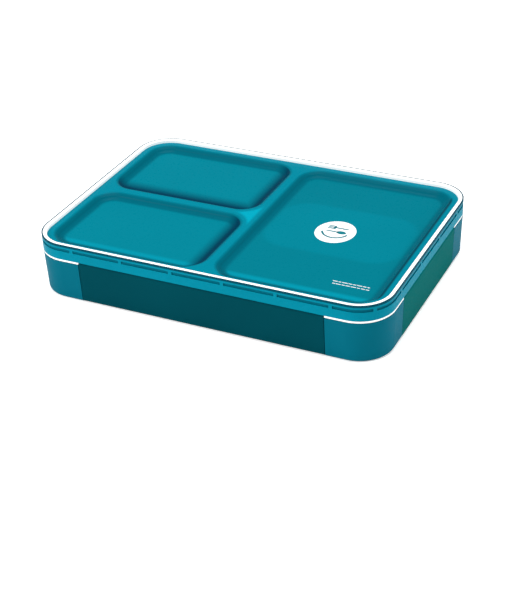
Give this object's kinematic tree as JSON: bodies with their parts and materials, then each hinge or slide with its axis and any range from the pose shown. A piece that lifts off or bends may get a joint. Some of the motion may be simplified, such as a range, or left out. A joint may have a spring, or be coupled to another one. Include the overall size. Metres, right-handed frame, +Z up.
{
  "type": "lunch box",
  "caption": "Slim rectangular lunch box: compartmented tub, clear tinted lid with sunken pads and a white seal, and a hinged flap latch on each side.",
  "frame": {"origin": "on the table, under the middle of the box", "axes": "+X along the long side, +Y from the front long side to the back one, +Z up out of the lid"},
  "size_m": [0.21, 0.147, 0.0345],
  "materials": {
    "lid_plastic": "clear tinted, polished",
    "tub_plastic": "satin moulded",
    "latch_plastic": "satin moulded",
    "white_elastomer": "matt white"
  },
  "bodies": {
    "tub": {"container": "tub_plastic"},
    "lid": {"lid": "lid_plastic", "top_ring": "white_elastomer", "lid_seal": "white_elastomer"},
    "front_latch": {"latch_front": "latch_plastic"},
    "right_latch": {"latch_right": "latch_plastic"},
    "back_latch": {"latch_back": "latch_plastic"},
    "left_latch": {"latch_left": "latch_plastic"}
  },
  "joints": [
    {"name": "lid_lift", "type": "slide", "parent": "tub", "child": "lid", "axis": [0, 0, 1], "range_m": [0, 0.06]},
    {"name": "front_latch_hinge", "type": "hinge", "parent": "lid", "child": "front_latch", "pos_m": [0, -0.0716, 0.0233], "axis": [-1, 0, 0], "range_deg": [0, 100]},
    {"name": "right_latch_hinge", "type": "hinge", "parent": "lid", "child": "right_latch", "pos_m": [0.1031, 0, 0.0233], "axis": [0, -1, 0], "range_deg": [0, 100]},
    {"name": "back_latch_hinge", "type": "hinge", "parent": "lid", "child": "back_latch", "pos_m": [0, 0.0716, 0.0233], "axis": [1, 0, 0], "range_deg": [0, 100]},
    {"name": "left_latch_hinge", "type": "hinge", "parent": "lid", "child": "left_latch", "pos_m": [-0.1031, 0, 0.0233], "axis": [0, 1, 0], "range_deg": [0, 100]}
  ]
}
